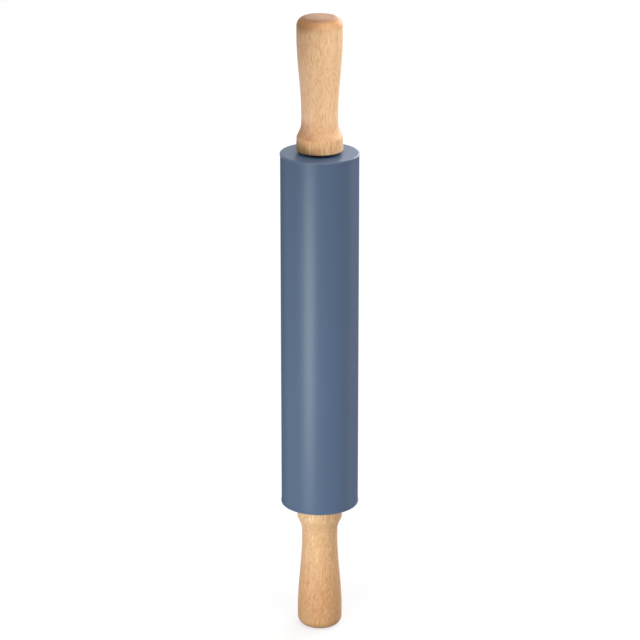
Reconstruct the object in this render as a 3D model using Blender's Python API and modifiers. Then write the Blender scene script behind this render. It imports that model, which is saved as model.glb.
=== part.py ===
"""Rolling pin with a silicone-covered barrel and turned wooden handles.

It stands upright on the flat end of its lower handle, with the Z axis as the axis of every piece.
A steel axle runs right through. Its shouldered, threaded ends screw into inserts in the two
handles, so axle and handles turn as one. The barrel turns freely round them: a wooden core inside
a silicone sleeve, closed by two moulded caps whose hubs carry flanged nylon bushings.

The pieces of one end are drawn once, with heights counted outwards from the barrel's face, and
the lower end's copies are turned over.
"""
import math

import bmesh
import bpy
from mathutils import Matrix

MM = 0.001

# Fits
SEAT_GAP = 0.3 * MM            # between pieces that touch
RUNNING_GAP = 0.3 * MM         # between the axle and the bushings that turn on it
END_PLAY = 0.5 * MM            # between a bushing's flange and the washer outside it
CUT_OVERRUN = 1.0 * MM         # how far a cutter runs past what it cuts

# Barrel
BARREL_LENGTH = 246.5 * MM     # over both caps
BARREL_RADIUS = 26.0 * MM      # over the silicone
SLEEVE_WALL = 2.5 * MM
CORE_BORE_ROOM = 1.5 * MM      # round the axle, inside the core
CORE_EDGE_CHAMFER = 0.8 * MM

# End cap
CAP_LIP = 0.25 * MM            # how far the cap stands proud of the silicone
CAP_LIP_HEIGHT = 1.4 * MM      # of the lip, which covers the sleeve's end
CAP_EDGE_RADIUS = 0.8 * MM
CAP_HEIGHT = 3.3 * MM          # down to the ends of its rim and ribs
CAP_PLATE = 1.8 * MM
CAP_RIM_WALL = 1.8 * MM
CAP_HUB_WALL = 2.4 * MM
CAP_HUB_DEPTH = 11.0 * MM      # below the rim, into the core
CAP_HUB_LEDGE = 0.3 * MM       # left standing round the hub by the pockets
CAP_RIB_COUNT = 8
CAP_RIB_WIDTH = 1.2 * MM

# Bushing
BUSHING_WALL = 2.0 * MM
BUSHING_LENGTH = 14.0 * MM     # with its flange
BUSHING_FLANGE = 1.2 * MM
BUSHING_FLANGE_WIDTH = 1.0 * MM
BUSHING_LEAD = 0.5 * MM        # chamfer at its inner end

# Axle
AXLE_RADIUS = 4.0 * MM
AXLE_SHOULDER = 1.0 * MM       # step down to the thread
RELIEF_DEPTH = 0.5 * MM        # groove between shoulder and thread
RELIEF_LENGTH = 1.2 * MM
THREAD_PAST_INSERT = 2.0 * MM
TIP_CHAMFER = 0.8 * MM

# Washer
WASHER_THICKNESS = 1.2 * MM
WASHER_RADIUS = 6.0 * MM

# Threaded insert
INSERT_LENGTH = 22.0 * MM      # with its flange
INSERT_WALL = 1.5 * MM
INSERT_FLANGE = 1.5 * MM
INSERT_FLANGE_WIDTH = 2.0 * MM
INSERT_LEAD = 1.0 * MM         # taper at the end that enters the wood
INSERT_SLOT_WIDTH = 2.0 * MM   # for the driver
INSERT_SLOT_DEPTH = 1.0 * MM

# Handle
HANDLE_LENGTH = 89.0 * MM
COLLAR_RADIUS = 15.5 * MM      # at the face next to the barrel
COLLAR_TAPER = 0.3 * MM        # lost over the collar's length
COLLAR_LENGTH = 9.1 * MM
COLLAR_EDGE_RADIUS = 1.2 * MM
SHOULDER_ANGLE = math.radians(26.0)
COVE_RADIUS = 16.0 * MM
NECK_RADIUS = 12.1 * MM
NECK_LENGTH = 4.5 * MM
SWELL_RADIUS = 15.15 * MM
CREST_LENGTH = 6.2 * MM        # straight stretch at the swell's widest
END_RADIUS = 6.0 * MM          # rounding of the free end
BORE_PAST_AXLE = 3.0 * MM
DRILL_POINT_ANGLE = math.radians(59.0)

# Facets
BARREL_SEGMENTS = 64
HANDLE_SEGMENTS = 48
SMALL_SEGMENTS = 32
ROUNDING_STEPS = 4
COVE_STEPS = 4
SWELL_STEPS = 10
SHARP_ANGLE = math.radians(30.0)

# Sizes that follow from those above
THREAD_RADIUS = AXLE_RADIUS - AXLE_SHOULDER
HANDLE_GAP = END_PLAY + WASHER_THICKNESS + SEAT_GAP
CAP_RADIUS = BARREL_RADIUS + CAP_LIP
CORE_RADIUS = BARREL_RADIUS - SLEEVE_WALL - SEAT_GAP
CAP_RIM_RADIUS = CORE_RADIUS
SLEEVE_END = CAP_LIP_HEIGHT + SEAT_GAP     # depth of the sleeve's ends below the barrel's face
CORE_END = CAP_HEIGHT + SEAT_GAP           # and of the core's
BUSHING_BORE = AXLE_RADIUS + RUNNING_GAP
BUSHING_RADIUS = BUSHING_BORE + BUSHING_WALL
HUB_BORE = BUSHING_RADIUS + SEAT_GAP
HUB_RADIUS = HUB_BORE + CAP_HUB_WALL
HUB_END = CAP_HEIGHT + CAP_HUB_DEPTH
INSERT_BORE = THREAD_RADIUS + SEAT_GAP
INSERT_RADIUS = INSERT_BORE + INSERT_WALL
AXLE_TIP = HANDLE_GAP + INSERT_LENGTH + THREAD_PAST_INSERT
BARREL_CENTRE = HANDLE_LENGTH + HANDLE_GAP + BARREL_LENGTH / 2


def linear(red, green, blue):
    """Blender's linear colour for a screen colour given as 0 to 255."""
    channels = [((c / 255 + 0.055) / 1.055) ** 2.4 for c in (red, green, blue)]
    return (*channels, 1.0)


def material(name, colour, roughness, metallic=0.0):
    made = bpy.data.materials.new(name)
    made.use_nodes = True
    shader = made.node_tree.nodes["Principled BSDF"]
    shader.inputs["Base Color"].default_value = colour
    shader.inputs["Roughness"].default_value = roughness
    shader.inputs["Metallic"].default_value = metallic
    made.diffuse_color = colour
    return made


def arc(centre_radius, centre_height, size, start, end, steps=ROUNDING_STEPS):
    """Points on an arc. Angles are in degrees, from outwards (0) towards upwards (90)."""
    turns = [math.radians(start + (end - start) * i / steps) for i in range(steps + 1)]
    return [(centre_radius + size * math.cos(t), centre_height + size * math.sin(t)) for t in turns]


def turned(name, outline, segments, finish):
    """A mesh object turned from (radius, height) points round the Z axis.

    The outline runs down the outside and back up the bore. One that starts and ends on the axis
    is left open there, and any other is closed into a ring.
    """
    on_axis = outline[0][0] == 0 and outline[-1][0] == 0
    count = len(outline)
    edges = [(i, (i + 1) % count) for i in range(count - 1 if on_axis else count)]
    profile = bpy.data.meshes.new(name)
    profile.from_pydata([(radius, 0, height) for radius, height in outline], edges, [])
    piece = bpy.data.objects.new(name, profile)
    parts.objects.link(piece)
    screw = piece.modifiers.new("Turn", "SCREW")
    screw.steps = screw.render_steps = segments
    screw.use_merge_vertices = True
    screw.merge_threshold = 0.01 * MM
    apply_modifiers(piece)
    piece.data.materials.append(finish)
    return piece


def apply_modifiers(piece):
    """Swap the mesh for the one that the modifiers make, shaded smooth between its sharp edges."""
    bpy.context.view_layer.update()
    evaluated = piece.evaluated_get(bpy.context.evaluated_depsgraph_get())
    made = bpy.data.meshes.new_from_object(evaluated)
    old = piece.data
    piece.modifiers.clear()
    piece.data = made
    bpy.data.meshes.remove(old)
    made.name = piece.name
    made.shade_smooth()
    made.set_sharp_from_angle(angle=SHARP_ANGLE)


def boxes(name, size, places):
    """A cutter of equal boxes, one at each (distance from the axis, height, turn in radians)."""
    mesh = bpy.data.meshes.new(name)
    build = bmesh.new()
    for distance, height, turn in places:
        box = bmesh.ops.create_cube(build, size=1)["verts"]
        bmesh.ops.scale(build, vec=size, verts=box)
        bmesh.ops.translate(build, vec=(distance, 0, height), verts=box)
        bmesh.ops.rotate(build, matrix=Matrix.Rotation(turn, 3, "Z"), verts=box)
    build.to_mesh(mesh)
    build.free()
    made = bpy.data.objects.new(name, mesh)
    make_cutter(made)
    return made


def make_cutter(shape):
    for collection in shape.users_collection:
        collection.objects.unlink(shape)
    cutters.objects.link(shape)
    shape.hide_render = True
    shape.display_type = "WIRE"


def cut(piece, cutter):
    boolean = piece.modifiers.new("Cut", "BOOLEAN")
    boolean.operation = "DIFFERENCE"
    boolean.object = cutter
    apply_modifiers(piece)


def place(piece, body, height, turned_over=False):
    """Hang a piece on its body's empty, at a height above the barrel's centre."""
    piece.parent = body
    piece.location = (0, 0, height)
    piece.rotation_euler = (math.pi if turned_over else 0, 0, 0)


def place_at_both_ends(piece, name, body):
    """The piece becomes the upper end's, and an object on the same mesh the lower end's."""
    lower = piece.copy()
    parts.objects.link(lower)
    piece.name = f"{name}_upper"
    lower.name = f"{name}_lower"
    place(piece, body, BARREL_LENGTH / 2)
    place(lower, body, -BARREL_LENGTH / 2, turned_over=True)


def end_outline(stations):
    """Both ends' outline of a piece that runs right through, from one end's (radius, height)."""
    upper = [(radius, BARREL_LENGTH / 2 + height) for radius, height in stations]
    return upper + [(radius, -height) for radius, height in reversed(upper)]


def silicone_sleeve():
    inner = BARREL_RADIUS - SLEEVE_WALL
    end = BARREL_LENGTH / 2 - SLEEVE_END
    outline = [(inner, end), (BARREL_RADIUS, end), (BARREL_RADIUS, -end), (inner, -end)]
    return turned("silicone_sleeve", outline, BARREL_SEGMENTS, silicone)


def barrel_core():
    """A wooden cylinder, drilled through for the axle and wider at both ends for the caps' hubs."""
    bore = AXLE_RADIUS + CORE_BORE_ROOM
    socket = HUB_RADIUS + SEAT_GAP
    socket_floor = -HUB_END - SEAT_GAP
    outside = end_outline([(CORE_RADIUS - CORE_EDGE_CHAMFER, -CORE_END),
                           (CORE_RADIUS, -CORE_END - CORE_EDGE_CHAMFER)])
    inside = end_outline([(socket, -CORE_END), (socket, socket_floor), (bore, socket_floor)])
    return turned("barrel_core", outside + inside[::-1], BARREL_SEGMENTS, wood)


def end_cap():
    """A moulded cap, whose lip covers the sleeve's end and whose rim plugs the sleeve.

    Its hub enters the core, and its underside is hollow between rim and hub except for the ribs.
    """
    recess = BUSHING_RADIUS + BUSHING_FLANGE_WIDTH + SEAT_GAP
    recess_floor = -BUSHING_FLANGE - SEAT_GAP
    edge = arc(CAP_RADIUS - CAP_EDGE_RADIUS, -CAP_EDGE_RADIUS, CAP_EDGE_RADIUS, 90, 0)
    outline = [(recess, 0), *edge, (CAP_RADIUS, -CAP_LIP_HEIGHT),
               (CAP_RIM_RADIUS, -CAP_LIP_HEIGHT), (CAP_RIM_RADIUS, -CAP_HEIGHT),
               (HUB_RADIUS, -CAP_HEIGHT), (HUB_RADIUS, -HUB_END), (HUB_BORE, -HUB_END),
               (HUB_BORE, recess_floor), (recess, recess_floor)]
    cap = turned("end_cap", outline, BARREL_SEGMENTS, cap_plastic)
    pocket_inner = HUB_RADIUS + CAP_HUB_LEDGE
    pocket_outer = CAP_RIM_RADIUS - CAP_RIM_WALL
    pocket_floor = -CAP_HEIGHT - CUT_OVERRUN
    pockets = turned("cap_pockets", [(pocket_inner, -CAP_PLATE), (pocket_outer, -CAP_PLATE),
                                     (pocket_outer, pocket_floor), (pocket_inner, pocket_floor)],
                     BARREL_SEGMENTS, cap_plastic)
    make_cutter(pockets)
    rib_length = pocket_outer - HUB_RADIUS + 2 * CUT_OVERRUN
    rib_height = CAP_HEIGHT - CAP_PLATE + 4 * CUT_OVERRUN
    ribs = boxes("cap_ribs", (rib_length, CAP_RIB_WIDTH, rib_height),
                 [((pocket_outer + HUB_RADIUS) / 2, -(CAP_HEIGHT + CAP_PLATE) / 2,
                   math.tau * i / CAP_RIB_COUNT) for i in range(CAP_RIB_COUNT)])
    cut(pockets, ribs)
    cut(cap, pockets)
    return cap


def bushing():
    flange_radius = BUSHING_RADIUS + BUSHING_FLANGE_WIDTH
    outline = [(BUSHING_BORE, 0), (flange_radius, 0), (flange_radius, -BUSHING_FLANGE),
               (BUSHING_RADIUS, -BUSHING_FLANGE), (BUSHING_RADIUS, BUSHING_LEAD - BUSHING_LENGTH),
               (BUSHING_RADIUS - BUSHING_LEAD, -BUSHING_LENGTH), (BUSHING_BORE, -BUSHING_LENGTH)]
    return turned("bushing", outline, SMALL_SEGMENTS, nylon)


def axle_rod():
    """A straight rod with a shoulder, a relief groove and a chamfered threaded end at each end."""
    shoulder = END_PLAY - SEAT_GAP
    relief = THREAD_RADIUS - RELIEF_DEPTH
    outline = end_outline([(0, AXLE_TIP), (THREAD_RADIUS - TIP_CHAMFER, AXLE_TIP),
                           (THREAD_RADIUS, AXLE_TIP - TIP_CHAMFER),
                           (THREAD_RADIUS, shoulder + RELIEF_LENGTH),
                           (relief, shoulder + RELIEF_LENGTH), (relief, shoulder),
                           (AXLE_RADIUS, shoulder)])
    return turned("axle_rod", outline, SMALL_SEGMENTS, steel)


def washer():
    bore = THREAD_RADIUS + SEAT_GAP
    top = END_PLAY + WASHER_THICKNESS
    outline = [(bore, top), (WASHER_RADIUS, top), (WASHER_RADIUS, END_PLAY), (bore, END_PLAY)]
    return turned("washer", outline, SMALL_SEGMENTS, nylon)


def threaded_insert():
    """A flanged tube in the handle's bore, slotted across the flange for its driver."""
    base = HANDLE_GAP
    flange_radius = INSERT_RADIUS + INSERT_FLANGE_WIDTH
    top = base + INSERT_LENGTH
    outline = [(INSERT_BORE, top), (INSERT_RADIUS - INSERT_LEAD, top),
               (INSERT_RADIUS, top - INSERT_LEAD), (INSERT_RADIUS, base + INSERT_FLANGE),
               (flange_radius, base + INSERT_FLANGE), (flange_radius, base), (INSERT_BORE, base)]
    insert = turned("threaded_insert", outline, SMALL_SEGMENTS, brass)
    slot_size = (2 * (flange_radius + CUT_OVERRUN), INSERT_SLOT_WIDTH,
                 2 * INSERT_SLOT_DEPTH)
    cut(insert, boxes("insert_slot", slot_size, [(0, base, 0)]))
    return insert


def handle():
    """The turned outside of a handle over the stepped, drilled bore that takes the insert."""
    base = HANDLE_GAP
    end = base + HANDLE_LENGTH
    outside = [(0, end), *arc(SWELL_RADIUS - END_RADIUS, end - END_RADIUS, END_RADIUS, 90, 0)]
    outside += swell(base + neck_end(), end - END_RADIUS - CREST_LENGTH)
    outside += cove(base)
    edge_centre = base + COLLAR_EDGE_RADIUS
    outside += arc(COLLAR_RADIUS - COLLAR_EDGE_RADIUS, edge_centre, COLLAR_EDGE_RADIUS, 0, -90)
    flange_room = INSERT_RADIUS + INSERT_FLANGE_WIDTH + SEAT_GAP
    flange_floor = base + INSERT_FLANGE + SEAT_GAP
    insert_room = INSERT_RADIUS + SEAT_GAP
    insert_floor = base + INSERT_LENGTH + SEAT_GAP
    pilot = THREAD_RADIUS + SEAT_GAP
    pilot_end = AXLE_TIP + BORE_PAST_AXLE
    drill_point = pilot_end + pilot / math.tan(DRILL_POINT_ANGLE)
    inside = [(flange_room, base), (flange_room, flange_floor), (insert_room, flange_floor),
              (insert_room, insert_floor), (pilot, insert_floor), (pilot, pilot_end),
              (0, drill_point)]
    return turned("handle", outside + inside, HANDLE_SEGMENTS, wood)


def cove_start():
    """Radius at which the collar's sloping shoulder runs into the cove."""
    return NECK_RADIUS + COVE_RADIUS * (1 - math.cos(SHOULDER_ANGLE))


def shoulder_end():
    """Height of that place above the handle's face."""
    slope = (COLLAR_RADIUS - COLLAR_TAPER - cove_start()) / math.tan(SHOULDER_ANGLE)
    return COLLAR_LENGTH + slope


def cove_end():
    return shoulder_end() + COVE_RADIUS * math.sin(SHOULDER_ANGLE)


def neck_end():
    return cove_end() + NECK_LENGTH


def swell(low, high):
    """The grip's outline from its crest down to its neck: a smooth step between two radii."""
    points = []
    for i in range(SWELL_STEPS + 1):
        share = 1 - i / SWELL_STEPS
        rise = share * share * (3 - 2 * share)
        radius = NECK_RADIUS + (SWELL_RADIUS - NECK_RADIUS) * rise
        points.append((radius, low + (high - low) * share))
    return points


def cove(base):
    """The hollow below the neck, its sloping shoulder and the collar's crisp edge."""
    centre = base + cove_end()
    points = []
    for i in range(COVE_STEPS + 1):
        turn = SHOULDER_ANGLE * i / COVE_STEPS
        points.append((NECK_RADIUS + COVE_RADIUS * (1 - math.cos(turn)),
                       centre - COVE_RADIUS * math.sin(turn)))
    points.append((COLLAR_RADIUS - COLLAR_TAPER, base + COLLAR_LENGTH))
    return points


for old in list(bpy.data.objects):
    bpy.data.objects.remove(old)

parts = bpy.data.collections.new("rolling_pin")
cutters = bpy.data.collections.new("cutters")
for collection in (parts, cutters):
    bpy.context.scene.collection.children.link(collection)

wood = material("turned_rubberwood", linear(215, 172, 129), 0.45)
silicone = material("slate_blue_silicone", linear(90, 107, 133), 0.5)
cap_plastic = material("slate_blue_cap", linear(96, 112, 136), 0.45)
nylon = material("dark_nylon", linear(42, 43, 46), 0.5)
steel = material("plated_steel", linear(176, 178, 182), 0.3, metallic=1.0)
brass = material("insert_brass", linear(190, 158, 92), 0.35, metallic=1.0)

axle_body = bpy.data.objects.new("axle_body", None)
barrel_body = bpy.data.objects.new("barrel_body", None)
for body in (axle_body, barrel_body):
    body.location = (0, 0, BARREL_CENTRE)
    parts.objects.link(body)

place(axle_rod(), axle_body, 0)
place_at_both_ends(washer(), "washer", axle_body)
place_at_both_ends(threaded_insert(), "threaded_insert", axle_body)
place_at_both_ends(handle(), "handle", axle_body)

place(silicone_sleeve(), barrel_body, 0)
place(barrel_core(), barrel_body, 0)
place_at_both_ends(end_cap(), "end_cap", barrel_body)
place_at_both_ends(bushing(), "bushing", barrel_body)
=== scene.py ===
"""The finish of a rolling pin with a silicone-covered barrel and turned wooden handles.

The pin stands upright on its lower handle, and the Z axis runs through all its pieces. Each piece
is drawn again here as a fine surface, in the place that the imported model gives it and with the
material of the real piece. Lengths are in metres.
"""
import math

import bmesh
import bpy
import numpy as np
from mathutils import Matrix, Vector


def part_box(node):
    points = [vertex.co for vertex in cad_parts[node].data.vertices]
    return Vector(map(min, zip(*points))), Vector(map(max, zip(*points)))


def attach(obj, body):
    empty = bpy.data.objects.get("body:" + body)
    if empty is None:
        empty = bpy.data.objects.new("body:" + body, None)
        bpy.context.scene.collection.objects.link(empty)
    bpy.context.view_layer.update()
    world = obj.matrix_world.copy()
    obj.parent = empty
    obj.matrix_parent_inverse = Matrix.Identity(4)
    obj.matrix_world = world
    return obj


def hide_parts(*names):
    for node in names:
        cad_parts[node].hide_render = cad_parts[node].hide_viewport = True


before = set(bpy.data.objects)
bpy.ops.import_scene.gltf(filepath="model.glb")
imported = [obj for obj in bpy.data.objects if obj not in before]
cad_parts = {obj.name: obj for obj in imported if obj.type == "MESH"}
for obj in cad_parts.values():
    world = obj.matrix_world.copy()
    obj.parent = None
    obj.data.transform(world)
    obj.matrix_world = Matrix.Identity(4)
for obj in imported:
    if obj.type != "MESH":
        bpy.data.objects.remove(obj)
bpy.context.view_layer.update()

# THE WOODEN CORE
# A plain cylinder of rubberwood gives the barrel its weight. It is turned to size, drilled through
# for the axle and counterbored at both ends for the hubs of the end caps.

MM = 0.001
barrel_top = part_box("end_cap_upper")[1].z
barrel_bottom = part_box("end_cap_lower")[0].z
barrel_centre = (barrel_top + barrel_bottom) / 2
core_low, core_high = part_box("barrel_core")
core_bore = 5.5 * MM
hub_socket = 9.3 * MM
hub_socket_depth = 14.6 * MM
core_edge = 0.8 * MM
core_softening = 0.25 * MM
side_share = 0.36
flat_share = 0.35


def softened(outline, size, ring=True, steps=5):
    """An outline of (radius, height) points with its corners rounded.

    Each corner C becomes the curve (1-t)(1-t) A + 2 t (1-t) C + t t B, where A and B lie on the two
    sides, size away from C, or side_share of the side where that is less. One more point on each
    side, flat_share of that way further out, keeps the flat beside the rounding flat. An open
    outline keeps its two ends.
    """
    corner = np.asarray(outline, float)
    before, after = np.roll(corner, 1, 0) - corner, np.roll(corner, -1, 0) - corner
    size = np.broadcast_to(size, len(corner))[:, None]
    lengths = [np.linalg.norm(side, axis=1, keepdims=True) for side in (before, after)]
    cuts = [side / length * np.minimum(size, side_share * length)
            for side, length in zip((before, after), lengths)]
    share = np.linspace(0, 1, steps)[None, :, None]
    corner, first, last = corner[:, None], (corner + cuts[0])[:, None], (corner + cuts[1])[:, None]
    curve = (1 - share) ** 2 * first + 2 * share * (1 - share) * corner + share**2 * last
    points = np.concatenate([first + flat_share * (first - corner), curve,
                             last + flat_share * (last - corner)], 1)
    if ring:
        return points.reshape(-1, 2)
    return np.vstack([corner[0], points[1:-1].reshape(-1, 2), corner[-1]])


same_place = 1e-7
crease_angle = math.radians(40)


def turned_surface(name, radius, height, turn=128):
    """A surface turned round the Z axis, with its faces pointing out.

    Each point is (radius cos t, radius sin t, height). Its rows are the stations of an outline
    that runs down the outside and back up the bore, and its columns the angles t: a count of even
    steps, or an array. Radius and height may vary over both. An outline from axis to axis ends in
    two poles, and any other is closed into a ring.
    """
    radius, height = (a[:, None] if a.ndim == 1 else a for a in (radius, height))
    if np.ndim(turn) == 0:
        turn = np.linspace(0, 2 * np.pi, turn, endpoint=False)[None, :]
    points = np.stack(np.broadcast_arrays(radius * np.cos(turn), radius * np.sin(turn), height), -1)
    poles = max(abs(radius[0]).max(), abs(radius[-1]).max()) < same_place
    row = np.arange(points.shape[0] * points.shape[1]).reshape(points.shape[:2])
    row = row if poles else np.vstack([row, row[:1]])
    beside = np.roll(row, -1, axis=1)
    faces = np.stack([row[:-1], row[1:], beside[1:], beside[:-1]], -1).reshape(-1, 4)
    mesh = bpy.data.meshes.new(name)
    mesh.from_pydata(points.reshape(-1, 3), [], faces.tolist())
    merged = bmesh.new()
    merged.from_mesh(mesh)
    bmesh.ops.remove_doubles(merged, verts=merged.verts, dist=same_place)
    merged.to_mesh(mesh)
    merged.free()
    mesh.shade_smooth()
    mesh.set_sharp_from_angle(angle=crease_angle)
    piece = bpy.data.objects.new(name, mesh)
    bpy.context.scene.collection.objects.link(piece)
    return piece


class Link:
    """An output of a node. Arithmetic with it adds a Math node to the same tree."""

    def __init__(self, nodes, socket):
        self.nodes = nodes
        self.socket = socket

    def math(self, operation, first, second):
        return self.nodes.add("Math", {"operation": operation}, {0: first, 1: second})

    def __add__(self, other):
        return self.math("ADD", self, other)

    def __sub__(self, other):
        return self.math("SUBTRACT", self, other)

    def __rsub__(self, other):
        return self.math("SUBTRACT", other, self)

    def __mul__(self, other):
        return self.math("MULTIPLY", self, other)

    __radd__ = __add__
    __rmul__ = __mul__


class Nodes:
    """The nodes of a material or of the world."""

    def __init__(self, tree):
        self.tree = tree

    def add(self, kind, settings, sockets, output=0):
        """Any node: its settings are set first, then its sockets, to values or links."""
        made = self.tree.nodes.new("ShaderNode" + kind)
        for name, value in settings.items():
            setattr(made, name, value)
        self.fill(made, sockets)
        return Link(self, made.outputs[output])

    def fill(self, node, sockets):
        for name, value in sockets.items():
            if isinstance(value, Link):
                self.tree.links.new(value.socket, node.inputs[name])
            else:
                node.inputs[name].default_value = value

    def place(self, offset=(0, 0, 0), turn=(0, 0, 0)):
        """Object coordinates, turned and moved."""
        where = self.add("TexCoord", {}, {}, "Object")
        return self.add("Mapping", {}, {"Vector": where, "Location": offset, "Rotation": turn})

    def noise(self, place, grains, detail=2.0, roughness=0.5):
        """Noise between 0 and 1, with so many grains to the metre along X, Y and Z."""
        scaled = self.add("VectorMath", {"operation": "MULTIPLY"}, {0: place, 1: grains})
        return self.add("TexNoise", {}, {"Vector": scaled, "Scale": 1.0, "Detail": detail,
                                         "Roughness": roughness})

    def step(self, value, low, high):
        """0 up to low, 1 from high on, and a smooth rise between."""
        return self.add("MapRange", {"interpolation_type": "SMOOTHSTEP"},
                        {"Value": value, "From Min": low, "From Max": high})

    def mix(self, share, first, second):
        """The first colour where the share is 0, and the second where it is 1."""
        return self.add("Mix", {"data_type": "RGBA"}, {0: share, 6: first, 7: second}, 2)

    def times(self, share, first, second):
        """The first colour where the share is 0, and both multiplied, up to 1, where it is 1."""
        return self.add("Mix", {"data_type": "RGBA", "blend_type": "MULTIPLY",
                                "clamp_result": True}, {0: share, 6: first, 7: second}, 2)

    def bump(self, height, depth):
        """A relief whose height, from 0 to 1, stands for so many metres."""
        return self.add("Bump", {}, {"Height": height, "Distance": depth, "Strength": 1.0})


class Finish(Nodes):
    """A material round one Principled shader, whose sockets take values or links by name."""

    def __init__(self, name, constants):
        self.material = bpy.data.materials.new(name)
        self.material.use_nodes = True
        super().__init__(self.material.node_tree)
        self.shade(constants)

    def shade(self, sockets):
        self.fill(self.tree.nodes["Principled BSDF"], sockets)


def screen(red, green, blue):
    """The linear colour of a screen colour given as 0 to 255."""
    return (*(((c / 255 + 0.055) / 1.055) ** 2.4 for c in (red, green, blue)), 1.0)


pith_place = (30 * MM, 55 * MM, 0)
ring_spacing = 4.2 * MM
line_fade = 0.5
grain_dark = (0.83, 0.68, 0.54, 1)
grain_pale = (1.17, 1.32, 1.46, 1)
rosy_tint = (1.0, 0.955, 0.945, 1)
vessel_tint = (0.85, 0.68, 0.58, 1)
# grey of the end grain: partly the wood's own, partly a painted reflection of the bright tent
end_grain_and_sheen_colour = (150, 118, 96)
fibre_relief = 0.04 * MM
bare_specular, lacquer_specular = 0.15, 0.1
bare_roughness, lacquer_smoothness = 0.6, 0.1


def rubberwood(name, offset, lean, plain, shades, lined, contrast, lacquer):
    """Rubberwood with its fibres along Z, as its plain colour with shades, times the grain.

    Each shade is a direction, the two distances along it in millimetres between which it grows,
    its strength and its colour: a tone of the wood, or painted light or shade, on one side or at
    one end. The fibres of the grain are noise drawn out along Z, at two widths, that wanders
    sideways. Growth rings are a sine of the distance from a pith outside the piece, and long bands
    and wide patches vary the tone, all by so much contrast. Some bands are rosy, and fine upright
    lines show between the two heights of lined, in millimetres. The vessels are the peaks of a fine
    noise: short thin dashes, redder than the rest. End grain, the more the surface faces along Z,
    is darker and greyer, with rings; the grey is partly the wood's own and partly a painted
    reflection of the bright tent on faces along Z.
    """
    wood = Finish(name, {"Specular IOR Level": bare_specular + lacquer_specular * lacquer})
    place = wood.place(offset, lean)
    wander = wood.noise(place, (90, 90, 40)) - 0.5
    drift = wood.add("CombineXYZ", {}, {"X": wander * (4 * MM), "Y": wander * (-3 * MM)})
    bent = wood.add("VectorMath", {"operation": "ADD"}, {0: place, 1: drift})
    fibres = wood.noise(bent, (1600, 1600, 180), detail=1.0, roughness=0.6) - 0.5
    fine = wood.noise(bent, (2700, 2700, 420), detail=1.0) - 0.5
    vessels = wood.step(wood.noise(bent, (1800, 1800, 200), detail=0.0), low=0.67, high=0.79)
    bands = wood.noise(bent, (480, 480, 30)) - 0.5
    rosy = wood.step(wood.noise(bent, (620, 620, 36), detail=1.0), low=0.45, high=0.65)
    level = wood.add("VectorMath", {"operation": "MULTIPLY"}, {0: bent, 1: (1, 1, 0)})
    pith = wood.add("VectorMath", {"operation": "DISTANCE"}, {0: level, 1: pith_place}, "Value")
    rings = wood.add("Math", {"operation": "SINE"}, {0: pith * (2 * math.pi / ring_spacing)})
    patches = wood.noise(place, (80, 80, 40)) - 0.5
    facing = wood.add("SeparateXYZ", {}, {0: wood.add("TexCoord", {}, {}, "Normal")}, "Z")
    facing = wood.add("Math", {"operation": "ABSOLUTE"}, {0: facing})
    # faces along Z take darker, greyer end grain: partly real, partly a painted reflection of the
    # tent
    end_grain_and_sheen = wood.step(facing, low=0.6, high=1.0)

    where = wood.add("TexCoord", {}, {}, "Object")
    height = wood.add("SeparateXYZ", {}, {0: where}, "Z")
    lined_low, lined_high = lined
    lines = wood.noise(place, (1050, 1050, 14), detail=1.0) - 0.5
    lines = lines * wood.step(height, (lined_low - line_fade) * MM, lined_low * MM)
    lines = lines * (1 - wood.step(height, lined_high * MM, (lined_high + line_fade) * MM))

    colour = screen(*plain)
    for direction, low, high, strength, shade in shades:
        along = wood.add("VectorMath", {"operation": "DOT_PRODUCT"},
                         {0: where, 1: direction}, "Value")
        colour = wood.mix(wood.step(along, low * MM, high * MM) * strength, colour, screen(*shade))
    figure = fibres * 1.35 + fine * 0.9 + bands * 0.3 + patches * 0.3 + rings * 0.03
    tone = 0.5 + figure * contrast + lines * 1.4 + end_grain_and_sheen * (rings * 0.14 - 0.3)
    colour = wood.times(1.0, colour, wood.mix(tone, grain_dark, grain_pale))
    colour = wood.times(rosy * contrast, colour, rosy_tint)
    colour = wood.times(vessels, colour, vessel_tint)
    colour = wood.mix(end_grain_and_sheen * 0.65, colour, screen(*end_grain_and_sheen_colour))
    roughness = bare_roughness - lacquer_smoothness * lacquer
    wood.shade({"Base Color": colour, "Roughness": roughness + fine * 0.12 + vessels * 0.1,
                "Normal": wood.bump(fibres * 0.5 + fine * 0.5 - vessels, depth=fibre_relief)})
    return wood.material


def fit(piece, material, body, node):
    """The piece takes its material, moves with its body, and stands for a node of the model."""
    piece.data.materials.append(material)
    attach(piece, body)
    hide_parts(node)


core_radius = core_high.x
core_outline = softened([
    (hub_socket, core_high.z), (core_radius - core_edge, core_high.z),
    (core_radius, core_high.z - core_edge), (core_radius, core_low.z + core_edge),
    (core_radius - core_edge, core_low.z), (hub_socket, core_low.z),
    (hub_socket, barrel_bottom + hub_socket_depth), (core_bore, barrel_bottom + hub_socket_depth),
    (core_bore, barrel_top - hub_socket_depth), (hub_socket, barrel_top - hub_socket_depth),
], core_softening)
core = turned_surface("turned_core", *core_outline.T)
core_wood = rubberwood("bare_rubberwood", offset=(0.11, 0.05, 0.3), lean=(0.02, 0.01, 0),
                       plain=(224, 182, 138), shades=[], lined=(0, 0), contrast=1.0, lacquer=0.0)
fit(core, core_wood, "barrel", "barrel_core")

# THE SILICONE SLEEVE
# The tube that does the rolling is slate-blue food-grade silicone, moulded with a satin skin and
# stretched over the core and the rims of the two caps. Its ends butt against the caps' lips.

sleeve_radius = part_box("silicone_sleeve")[1].x
sleeve_wall = 2.5 * MM
sleeve_outer_edge = 0.04 * MM
sleeve_inner_edge = 0.1 * MM
cap_lip_height = 1.4 * MM
cap_seam = 0.04 * MM


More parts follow.
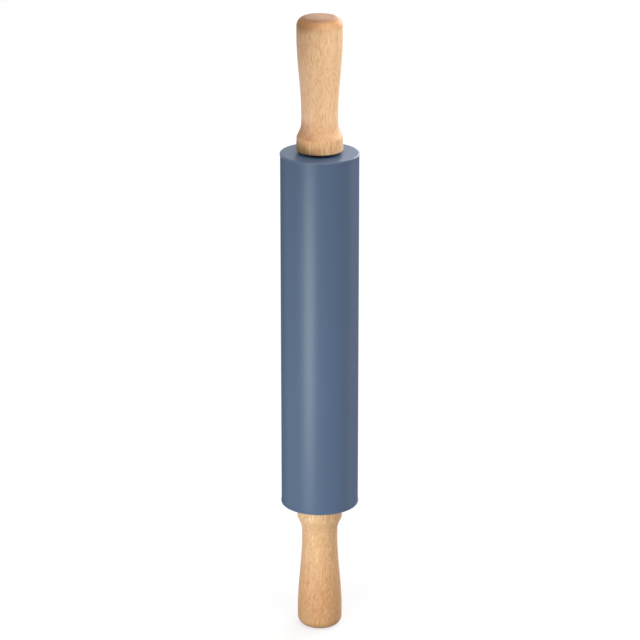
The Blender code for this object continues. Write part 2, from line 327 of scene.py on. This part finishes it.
def sleeve_outline():
    """The tube's section: long straight sides, and ends with slightly rounded edges."""
    end = cap_lip_height + cap_seam
    top, bottom = barrel_top - end, barrel_bottom + end
    inner = sleeve_radius - sleeve_wall
    return softened([(inner, top), (sleeve_radius, top), (sleeve_radius, bottom), (inner, bottom)],
                    [sleeve_inner_edge, sleeve_outer_edge, sleeve_outer_edge, sleeve_inner_edge])


def slate_blue(name, colour, roughness, grazing_roughness, speck_size, relief_depth):
    """A satin moulded skin: fine specks in tone, gloss and relief, and slow cloudy changes.

    Its grain scatters the light that grazes it, so it is rougher the less it faces the eye.
    """
    skin = Finish(name, {"IOR": 1.46, "Specular IOR Level": 0.43})
    skin.tree.nodes["Principled BSDF"].distribution = "GGX"
    place = skin.place((0.2, 0.1, 0.05))
    grains = 1 / speck_size
    specks = skin.noise(place, (grains, grains, grains), roughness=0.6) - 0.5
    clouds = skin.noise(place, (38, 38, 14), detail=3.0) - 0.5
    deep, pale = (tuple(c * share for c in colour[:3]) + (1.0,) for share in (0.9, 1.1))
    tone = 0.5 + clouds * 0.45 + specks * 0.35
    facing = skin.add("LayerWeight", {}, {"Blend": 0.5}, "Facing")
    turned_away = skin.step(facing, low=0.3, high=0.8)
    roughness = roughness + clouds * 0.06 + specks * 0.05 + turned_away * grazing_roughness
    skin.shade({"Base Color": skin.mix(tone, deep, pale), "Roughness": roughness,
                "Normal": skin.bump(specks, depth=relief_depth)})
    return skin.material


sleeve = turned_surface("silicone_tube", *sleeve_outline().T, turn=256)
silicone = slate_blue("slate_blue_silicone", screen(70, 88, 115), roughness=0.37,
                      grazing_roughness=0.55, speck_size=0.3 * MM, relief_depth=0.01 * MM)
fit(sleeve, silicone, "barrel", "silicone_sleeve")

# THE END CAPS
# Each end of the barrel is closed by a moulded cap in the same slate blue. A lip stands a hair
# proud of the silicone and covers its end, a rim plugs the sleeve and a hub the core, and ribs run
# across the underside.

cap_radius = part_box("end_cap_upper")[1].x
cap_edge = 0.8 * MM
cap_height = 3.3 * MM
cap_plate = 1.8 * MM
rim_clearance = 0.05 * MM
cap_rim = sleeve_radius - sleeve_wall - rim_clearance
rim_wall = 1.5 * MM
pocket_outer = cap_rim - rim_wall
hub_radius = 9.0 * MM
hub_bore = 6.6 * MM
hub_end = 14.3 * MM
bushing_recess = 7.6 * MM
bushing_recess_depth = 1.5 * MM
rib_count = 8
rib_width = 1.2 * MM
pocket_mouth = 0.3 * MM
hair = 0.01 * MM


def at_end(radius, height, upper):
    """Stations given outwards from the barrel's face, set at its upper or its lower end.

    The height becomes face + height above, and face - height below, where the stations also take
    the reverse order, so that they still run down the outside.
    """
    if upper:
        return radius, barrel_top + height
    return radius[::-1], barrel_bottom - height[::-1]


def spoke_turns(radius, spokes, width, on=5, between=15):
    """Angles for turned_surface in which the edges of straight spokes are columns of the grid.

    At a radius r, a spoke's edges lie asin(width / 2r) to each side of its middle. Some columns
    are spread evenly within that angle and the others between the spokes, so that each edge has
    two, one for each side of the wall that stands there. Also tells which columns are on a spoke.
    """
    edge = np.arcsin(width / 2 / radius)[:, None]
    sector = 2 * np.pi / spokes
    one = np.hstack([edge * np.linspace(-1, 1, on),
                     edge + (sector - 2 * edge) * np.linspace(0, 1, between)])
    turn = np.hstack([one + sector * i for i in range(spokes)])
    return turn, np.tile(np.arange(on + between) < on, spokes)


def moulded_cap(name, upper):
    """A cap turned from its section, whose pockets go up to the plate except on the ribs.

    Each corner of the section is a radius, a height and the size of its rounding. On a rib's
    columns, the stations inside the pockets take the height of the rim instead of their own.
    """
    corners = np.array([
        (hub_bore, -bushing_recess_depth, 0.1 * MM),
        (bushing_recess, -bushing_recess_depth, 0.1 * MM),
        (bushing_recess, 0, 0.3 * MM), (cap_radius, 0, cap_edge),
        (cap_radius, -cap_lip_height, 0.1 * MM), (cap_rim, -cap_lip_height, 0.1 * MM),
        (cap_rim, -cap_height, 0.2 * MM), (pocket_outer, -cap_height, 0.15 * MM),
        (pocket_outer, -cap_plate, 0.3 * MM), (hub_radius, -cap_plate, 0.4 * MM),
        (hub_radius, -cap_height, 0.02 * MM), (hub_radius, -hub_end, 0.3 * MM),
        (hub_bore, -hub_end, 0.3 * MM)])
    radius, height = softened(corners[:, :2], corners[:, 2]).T
    turn, on_rib = spoke_turns(radius, rib_count, rib_width)
    in_pocket = (radius < pocket_outer + pocket_mouth) & (radius > hub_radius - hair)
    in_pocket &= (height < -cap_plate + hair) & (height > -cap_height)
    filled = in_pocket[:, None] & on_rib[None, :]
    height = np.where(filled, -cap_height, height[:, None])
    radius = np.broadcast_to(radius[:, None], height.shape)
    radius, height = at_end(radius, height, upper)
    return turned_surface(name, radius, height, turn if upper else turn[::-1])


cap_plastic = slate_blue("slate_blue_cap", screen(76, 95, 121), roughness=0.36,
                         grazing_roughness=0.0, speck_size=0.22 * MM, relief_depth=0.008 * MM)
for end, upper in (("upper", True), ("lower", False)):
    cap = moulded_cap("cap_" + end, upper)
    fit(cap, cap_plastic, "barrel", "end_cap_" + end)

# THE BUSHINGS
# A flanged sleeve of dark nylon is pressed into each cap's hub. It turns on the steel axle, dry
# and quiet, and its flange lies in a recess of the cap's face.

bushing_bore = 4.3 * MM
bushing_radius = 6.3 * MM
bushing_flange_radius = 7.3 * MM
bushing_flange = 1.2 * MM
bushing_length = 14.0 * MM
bushing_lead = 0.5 * MM
nylon_edge = 0.2 * MM


def dark_nylon():
    """Injection-moulded nylon: near black, faintly mottled, with fine lengthwise scuffs."""
    nylon = Finish("dark_nylon", {"IOR": 1.53})
    place = nylon.place((0.03, 0.02, 0.01))
    mottle = nylon.noise(place, (700, 700, 700), detail=3.0, roughness=0.6) - 0.5
    scuffs = nylon.noise(place, (3000, 3000, 500)) - 0.5
    nylon.shade({"Base Color": nylon.mix(0.5 + mottle, screen(34, 35, 38), screen(54, 55, 59)),
                 "Roughness": 0.48 + scuffs * 0.25,
                 "Normal": nylon.bump(scuffs, depth=0.01 * MM)})
    return nylon.material


bushing_outline = softened([
    (bushing_bore, 0), (bushing_flange_radius, 0), (bushing_flange_radius, -bushing_flange),
    (bushing_radius, -bushing_flange), (bushing_radius, bushing_lead - bushing_length),
    (bushing_radius - bushing_lead, -bushing_length), (bushing_bore, -bushing_length),
], nylon_edge)
nylon = dark_nylon()
for end, upper in (("upper", True), ("lower", False)):
    bushing = turned_surface("flanged_bushing_" + end, *at_end(*bushing_outline.T, upper), turn=96)
    fit(bushing, nylon, "barrel", "bushing_" + end)

# THE AXLE
# One straight rod of zinc-plated steel runs through the barrel. At each end it steps down at a
# shoulder to a relief groove and a rolled metric thread of one millimetre pitch.

rod_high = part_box("axle_rod")[1]
axle_radius = rod_high.x
axle_tip = rod_high.z - barrel_top
axle_shoulder = 0.2 * MM
axle_edge = 0.2 * MM
axle_half_end = -2 * MM
relief_end = 1.4 * MM
relief_radius = 2.35 * MM
thread_crest = 3.0 * MM
tip_chamfer = 0.8 * MM
tip_radius = thread_crest - 1.2 * tip_chamfer
thread_root = 2.4 * MM
thread_pitch = 1.0 * MM
stations_per_pitch = 8
axle_turns = 64


def thread_rise(height, turn, pitch, steepness=1.6, flat=0.3):
    """How far a right-hand thread rises at a height and an angle, from 0 at its root to 1.

    The phase p = height / pitch - angle / full turn gives the wave |2 frac(p) - 1|, which is
    stretched and cut off to leave flats at the root and the crest.
    """
    phase = height / pitch - turn / (2 * np.pi)
    return np.clip(steepness * (abs(2 * (phase % 1) - 1) - flat) / (1 - flat), 0, 1)


def axle_half(upper):
    """Stations from a tip to beyond its shoulder, with the radius at each angle.

    The half ends just beyond the shoulder, on the thick middle of the rod. The thread lies under
    a line that falls at 45 degrees over the chamfer of the tip.
    """
    count = round((axle_tip - relief_end) / thread_pitch * stations_per_pitch) + 1
    height = np.linspace(axle_tip, relief_end, count)
    place = barrel_top + height if upper else barrel_bottom - height
    turn = np.linspace(0, 2 * np.pi, axle_turns, endpoint=False)
    rise = thread_rise(place[:, None], turn[None, :], thread_pitch)
    envelope = thread_crest - np.clip(height - (axle_tip - tip_chamfer), 0, None)
    thread = np.minimum(thread_root + (thread_crest - thread_root) * rise, envelope[:, None])
    tip = np.array([0, tip_radius])
    neck = softened([(relief_radius, relief_end), (relief_radius, axle_shoulder),
                     (axle_radius, axle_shoulder), (axle_radius, axle_half_end)],
                    axle_edge, ring=False)
    radius = np.vstack([np.tile(tip[:, None], axle_turns), thread,
                        np.tile(neck[:, :1], axle_turns)])
    return at_end(radius, np.concatenate([np.full(2, axle_tip), height, neck[:, 1]]), upper)


def plated_steel():
    """Zinc plating, with fine lengthwise drawing marks and a cloudy bloom."""
    steel = Finish("plated_steel", {"Metallic": 1.0})
    place = steel.place((0.01, 0.04, 0.02))
    drawn = steel.noise(place, (4000, 4000, 90)) - 0.5
    bloom = steel.noise(place, (220, 220, 90), detail=3.0) - 0.5
    steel.shade({"Base Color": steel.mix(0.5 + bloom, screen(158, 161, 168), screen(196, 198, 202)),
                 "Roughness": 0.32 + drawn * 0.2 + bloom * 0.2,
                 "Normal": steel.bump(drawn, depth=0.004 * MM)})
    return steel.material


upper_half, lower_half = axle_half(True), axle_half(False)
rod = turned_surface("steel_axle", *(np.concatenate(pair) for pair in zip(upper_half, lower_half)),
                     turn=axle_turns)
fit(rod, plated_steel(), "handles", "axle_rod")

# THE WASHERS
# A flat washer of the same dark nylon sits on each threaded end, between the axle's shoulder and
# the handle, and keeps the turning barrel off the wood.

washer_bore = 3.3 * MM
for end, upper in (("upper", True), ("lower", False)):
    washer_low, washer_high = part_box("washer_" + end)
    washer_outline = softened([(washer_bore, washer_high.z), (washer_high.x, washer_high.z),
                               (washer_high.x, washer_low.z), (washer_bore, washer_low.z)],
                              nylon_edge)
    washer = turned_surface("nylon_washer_" + end, *washer_outline.T, turn=96)
    fit(washer, nylon, "handles", "washer_" + end)

# THE THREADED INSERTS
# A brass insert is screwed into the bore of each handle with a driver across its slotted flange.
# It bites the wood with a coarse outer thread and takes the axle in a fine inner one.

insert_low, insert_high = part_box("threaded_insert_upper")
insert_face = insert_low.z - barrel_top
insert_end = insert_high.z - barrel_top
insert_flange_radius = insert_high.x
insert_flange = 1.5 * MM
insert_slot_width = 2.0 * MM
insert_slot_depth = 1.0 * MM
coarse_crest = 5.0 * MM
coarse_root = 4.3 * MM
coarse_pitch = 2.5 * MM
coarse_taper = 2.5 * MM
coarse_lead = 0.4 * MM
coarse_stations_per_pitch = 2 * stations_per_pitch
bore_clearance = 0.06 * MM
bore_chamfer = 0.3 * MM
flange_edges = np.array([0.1, 0.2, 0.02, 0.3, 0.1]) * MM


def insert_surface(name, upper):
    """An insert's outer thread, slotted flange and inner thread as one turned grid.

    The outer thread shrinks to a little below its root over a taper at the far end, and the bore
    widens over a chamfer at both ends. The inner thread is the axle's own, a clearance wider. The
    slot is two spokes of the grid, in which no station lies nearer to the barrel than its floor.
    """
    length = insert_end - insert_face
    outer = np.linspace(insert_end, insert_face + insert_flange,
                        round(length / coarse_pitch * coarse_stations_per_pitch))
    floor = insert_face + insert_slot_depth
    flange = softened([(coarse_root, insert_face + insert_flange),
                       (insert_flange_radius, insert_face + insert_flange),
                       (insert_flange_radius, floor), (insert_flange_radius, insert_face),
                       (thread_crest, insert_face)], flange_edges, ring=False)[1:]
    inner = np.linspace(insert_face, insert_end, round(length / thread_pitch * stations_per_pitch))
    height = np.concatenate([outer, flange[:, 1], inner])
    plain = np.concatenate([np.full(len(outer), coarse_root), flange[:, 0],
                            np.full(len(inner), thread_crest)])
    turn, in_slot = spoke_turns(plain, 2, insert_slot_width, on=9, between=33)
    place = (barrel_top + height if upper else barrel_bottom - height)[:, None]

    taper = np.clip((insert_end - height) / coarse_taper, 0, 1)[:, None]
    coarse = taper * thread_rise(place, turn, coarse_pitch, steepness=2.4, flat=0.6)
    body = coarse_root - coarse_lead * (1 - taper) + (coarse_crest - coarse_root) * coarse
    fine = thread_rise(place, turn, thread_pitch) * (thread_crest - thread_root)
    mouth = np.minimum(height - insert_face, insert_end - height)
    bore = np.maximum(thread_root + bore_clearance + fine,
                      (thread_crest + bore_clearance + bore_chamfer - mouth)[:, None])

    row = np.arange(len(height))[:, None]
    in_bore = row >= len(height) - len(inner)
    radius = np.where(row < len(outer), body, np.where(in_bore, bore, plain[:, None]))
    cut_away = in_slot[None, :] & (height < floor)[:, None]
    radius = np.where(cut_away & in_bore, thread_crest + bore_clearance, radius)
    height = np.where(cut_away, floor, height[:, None])
    return turned_surface(name, *at_end(radius, height, upper), turn if upper else turn[::-1])


def turned_brass():
    """Free-cutting brass: fine rings from the tool, and a little tarnish in patches."""
    brass = Finish("insert_brass", {"Metallic": 1.0})
    place = brass.place((0.02, 0.03, 0.04))
    rings = brass.noise(place, (60, 60, 9000), detail=1.0) - 0.5
    tarnish = brass.noise(place, (300, 300, 300), detail=3.0) - 0.5
    colour = brass.mix(0.5 + tarnish, screen(168, 132, 70), screen(206, 172, 104))
    brass.shade({"Base Color": colour, "Roughness": 0.3 + rings * 0.15 + tarnish * 0.25,
                 "Normal": brass.bump(rings, depth=0.004 * MM)})
    return brass.material


brass = turned_brass()
for end, upper in (("upper", True), ("lower", False)):
    insert = insert_surface("brass_insert_" + end, upper)
    fit(insert, brass, "handles", "threaded_insert_" + end)

# THE HANDLES
# Each handle is one piece of rubberwood turned between centres: a short collar beside the barrel,
# a cove, a grip that swells towards the free end, and a flat end inside a wide rounding. It is
# drilled for its insert, sanded along the grain and given a thin satin lacquer.

handle_low, handle_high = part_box("handle_upper")
handle_face = handle_low.z - barrel_top
handle_end = handle_high.z - barrel_top
collar_radius = handle_high.x
collar_taper = 0.3 * MM
collar_length = 9.1 * MM
collar_rounding = 0.6 * MM
collar_crease = 0.35 * MM
shoulder_angle = math.radians(26.0)
cove_radius = 16.0 * MM
neck_radius = 12.1 * MM
neck_length = 4.5 * MM
swell_radius = 15.15 * MM
crest_length = 6.2 * MM
end_rounding = 6.0 * MM
room = 0.3 * MM
flange_room = insert_flange_radius + room
flange_room_depth = 1.8 * MM
insert_room = 5.1 * MM
insert_room_end = insert_end + room
pilot_radius = 3.3 * MM
pilot_end = axle_tip + 3.0 * MM
drill_half_angle = math.radians(59.0)
drill_point = pilot_radius / math.tan(drill_half_angle)
bore_edge = 0.15 * MM


def straight(first, last, count):
    """Points spaced evenly along the line from first to last, without either of them."""
    share = np.linspace(0, 1, count + 2)[1:-1, None]
    return np.array(first) * (1 - share) + np.array(last) * share


def arc(centre, size, start, end, count):
    """Points centre + size (cos a, sin a), as a goes evenly from start to end, in degrees."""
    angle = np.radians(np.linspace(start, end, count))
    return np.array(centre) + size * np.column_stack([np.cos(angle), np.sin(angle)])


def handle_outline():
    """The handle's outline outwards from the barrel's face, from its free end to its bore's end.

    The end is a quarter circle. The grip's radius is neck + (swell - neck) s s (3 - 2 s), with s
    from 0 at the neck to 1 at the crest. The cove is an arc that leaves the neck level and meets
    the collar's shoulder at the shoulder's slope. A small arc softens the crease at the collar.
    """
    end_centre = (swell_radius - end_rounding, handle_end - end_rounding)
    cove_start = neck_radius + cove_radius * (1 - math.cos(shoulder_angle))
    crease_radius = collar_radius - collar_taper
    crease = handle_face + collar_length
    cove_end = (crease + (crease_radius - cove_start) / math.tan(shoulder_angle)
                + cove_radius * math.sin(shoulder_angle))
    grip_low, grip_high = cove_end + neck_length, end_centre[1] - crest_length
    share = np.linspace(1, 0, 100)
    grip = np.column_stack([
        neck_radius + (swell_radius - neck_radius) * share**2 * (3 - 2 * share),
        grip_low + (grip_high - grip_low) * share])
    cove = arc((neck_radius + cove_radius, cove_end), cove_radius, 180,
               180 + math.degrees(shoulder_angle), 24)
    edge = softened([cove[-1], (crease_radius, crease),
                     (collar_radius, handle_face + collar_rounding)], collar_crease, ring=False)
    rim = arc((collar_radius - collar_rounding, handle_face + collar_rounding), collar_rounding,
              0, -90, 10)
    bore = softened([rim[-1], (flange_room, handle_face),
                     (flange_room, handle_face + flange_room_depth),
                     (insert_room, handle_face + flange_room_depth), (insert_room, insert_room_end),
                     (pilot_radius, insert_room_end), (pilot_radius, pilot_end),
                     (0, pilot_end + drill_point)], bore_edge, ring=False)
    return np.vstack([
        [(0, handle_end)], straight((0, handle_end), (end_centre[0], handle_end), 24),
        arc(end_centre, end_rounding, 90, 0, 28),
        straight((swell_radius, end_centre[1]), (swell_radius, grip_high), 6),
        grip, straight(grip[-1], cove[0], 6), cove,
        straight(cove[-1], edge[1], 6), edge[1:-1],
        straight(edge[-2], edge[-1], 12), rim, bore[1:],
    ])


upper_shades = [
    # paler and more golden down the right, painted light from that side; browner down the left
    ((0.9, -0.35, 0.0), -2, 12, 0.58, (255, 211, 161)),
    ((-0.9, -0.4, 0.0), -5, 7, 0.38, (160, 122, 90)),
    # a painted sheen down the left side that widens downwards, and a dark left side near the free
    # end
    ((-1.0, 0.1, -0.16), -56.5, -46, 0.52, (236, 202, 182)),
    ((-0.9, -0.4, 0.4), 168, 184, 0.3, (110, 84, 52)),
    # the free end's rounding, darkened as painted shade: dark at its left, brown all round and
    # browner at its right
    ((-0.6, -0.3, 1.0), 427, 435, 0.72, (96, 72, 46)),
    ((0.0, 0.0, 1.0), 418, 427, 0.38, (196, 126, 68)),
    ((0.6, -0.2, 1.0), 429.5, 435, 0.42, (184, 114, 62)),
    # the cove, browner, partly the wood's end grain and partly painted shade where the lamps above
    # light it, with a darker left end
    ((0.0, 0.0, -1.0), -363, -353, 0.32, (172, 110, 60)),
    ((-1.0, -0.3, -0.6), -207, -198, 0.5, (146, 92, 44)),
    # the paler collar, with painted shade at its left end next to the barrel
    ((0.0, 0.0, -1.0), -349.4, -348.2, 0.35, (240, 200, 146)),
    ((-0.8, -0.3, -1.0), -337, -329, 0.65, (112, 90, 50)),
]
lower_shades = [
    # golden on the right, painted light from that side; pale on the left; and browner towards the
    # foot
    ((0.95, -0.3, 0.0), -4, 13, 0.15, (236, 188, 138)),
    ((-1.0, -0.3, 0.0), 0, 12, 0.25, (230, 194, 162)),
    ((0.0, 0.0, -1.0), -85, -8, 0.58, (164, 112, 68)),
]
upper_collar = (339.5, 348.4)
lower_collar = (80.3, 89.0)
handle_finishes = {
    "upper": rubberwood("lacquered_rubberwood_upper", offset=(0.03, 0.01, 0.0),
                        lean=(0.0, 0.04, 0), plain=(242, 199, 156), shades=upper_shades,
                        lined=upper_collar, contrast=0.75, lacquer=1.0),
    "lower": rubberwood("lacquered_rubberwood_lower", offset=(-0.045, 0.02, 0.07),
                        lean=(0.0, -0.16, 0), plain=(215, 176, 134), shades=lower_shades,
                        lined=lower_collar, contrast=1.0, lacquer=1.0),
}
for end, upper in (("upper", True), ("lower", False)):
    handle = turned_surface("turned_handle_" + end, *at_end(*handle_outline().T, upper), turn=160)
    fit(handle, handle_finishes[end], "handles", "handle_" + end)

# THE GROUND AND THE LIGHT
# The pin stands on seamless white paper in a bright tent. The paper and the tent look white to the
# camera, and light the pin at a plain level from all round. In reflections the tent is white too,
# apart from its roof and its back left, which are dimmer there.

ground_reach = 9.0
paper_glow = 0.69
paper_relief = 0.02 * MM
tent_light = 0.4
roof_dimming = 0.55
back_left_dimming = 0.45
back_left_way = (-0.5, 0.83, 0.25)

ground_mesh = bpy.data.meshes.new("paper")
ground_mesh.from_pydata([(x * ground_reach, y * ground_reach, 0)
                         for x, y in ((-1, -1), (1, -1), (1, 1), (-1, 1))], [], [(0, 1, 2, 3)])
ground = bpy.data.objects.new("paper", ground_mesh)
bpy.context.scene.collection.objects.link(ground)


def seen_directly(nodes):
    """1 for rays from the camera, off gloss or through a clear piece, and 0 for all others."""
    camera_ray, glossy_ray, clear_ray = (
        nodes.add("LightPath", {}, {}, name)
        for name in ("Is Camera Ray", "Is Glossy Ray", "Is Transmission Ray"))
    return nodes.add("Math", {"operation": "ADD", "use_clamp": True},
                     {0: camera_ray + glossy_ray, 1: clear_ray})


paper = Finish("white_paper", {"Base Color": screen(136, 136, 136), "Roughness": 0.9,
                               "Specular IOR Level": 0.1})
fleck = paper.noise(paper.place(), (500, 500, 500), detail=3.0) - 0.5
paper.shade({"Emission Color": (1, 1, 1, 1),
             "Emission Strength": seen_directly(paper) * paper_glow,
             "Normal": paper.bump(fleck, depth=paper_relief)})
ground_mesh.materials.append(paper.material)

tent = bpy.data.worlds.new("tent")
bpy.context.scene.world = tent
tent.use_nodes = True
tent_nodes = Nodes(tent.node_tree)
direction = tent_nodes.add("TexCoord", {}, {}, "Generated")
rise = tent_nodes.add("SeparateXYZ", {}, {0: direction}, "Z")
back_left = tent_nodes.add("VectorMath", {"operation": "DOT_PRODUCT"},
                           {0: direction, 1: back_left_way}, "Value")
dim_roof = tent_nodes.step(rise, low=0.5, high=0.85) * roof_dimming
dim_back_left = tent_nodes.step(back_left, low=0.6, high=0.95) * back_left_dimming
glossy = tent_nodes.add("LightPath", {}, {}, "Is Glossy Ray")
tent_nodes.fill(tent.node_tree.nodes["Background"],
                {"Color": (1, 1, 1, 1), "Strength": tent_light
                 + seen_directly(tent_nodes) * (1 - tent_light)
                 - glossy * (dim_roof + dim_back_left)})


def softbox(name, bearing, distance, height, size, brightness, aim, tint=(1, 1, 1)):
    """A rectangular lamp, at a bearing in degrees to the right of the camera, aimed at the axis.

    Its power is brightness times pi times its area, so that it looks that bright. The tint is its
    colour, and the camera doesn't see it.
    """
    bearing = math.radians(bearing)
    lamp = bpy.data.lights.new(name, "AREA")
    lamp.shape = "RECTANGLE"
    lamp.size, lamp.size_y = size
    lamp.energy = brightness * math.pi * size[0] * size[1]
    lamp.color = tint
    holder = bpy.data.objects.new(name, lamp)
    holder.location = (math.sin(bearing) * distance, -math.cos(bearing) * distance, height)
    away = holder.location - Vector((0, 0, aim))
    holder.rotation_euler = away.to_track_quat("Z", "Y").to_euler()
    holder.visible_camera = False
    bpy.context.scene.collection.objects.link(holder)


softbox("front_left_strip", bearing=-30, distance=0.36, height=0.116, size=(0.17, 0.225),
        brightness=6.85, aim=0.116, tint=(1.0, 1.02, 0.92))
softbox("front", bearing=-20, distance=2.5, height=0.9, size=(1.8, 1.2),
        brightness=2.0, aim=barrel_centre)
softbox("front_right", bearing=37, distance=2.5, height=0.9, size=(1.0, 1.2),
        brightness=2.6, aim=barrel_centre)
softbox("overhead", bearing=15, distance=0.8, height=2.7, size=(1.8, 1.8),
        brightness=4.4, aim=barrel_centre)
softbox("right", bearing=132, distance=2.6, height=1.0, size=(1.2, 1.6),
        brightness=7.6, aim=barrel_centre)
softbox("back_right", bearing=162, distance=2.5, height=1.1, size=(1.2, 1.0),
        brightness=6.4, aim=barrel_centre, tint=(0.97, 1.0, 1.05))

# THE CAMERA
# It looks down on the pin from the front at about 19 degrees, through a long lens and from nearly
# two metres away, so that the perspective is slight.

image_width = 640
pixels_aside = 0.25
camera_distance = 1.8096
camera_rise = 0.6363
camera_tilt = math.radians(70.83)
camera = bpy.data.cameras.new("camera")
camera.lens = 161.38
camera.sensor_width = 36.0
camera.shift_x = pixels_aside / image_width
camera.clip_start = 0.05
camera.clip_end = 60.0
camera_holder = bpy.data.objects.new("camera", camera)
camera_holder.location = (0, -camera_distance, barrel_centre + camera_rise)
camera_holder.rotation_euler = (camera_tilt, 0, 0)
bpy.context.scene.collection.objects.link(camera_holder)
bpy.context.scene.camera = camera_holder
bpy.context.scene.view_settings.view_transform = "Standard"
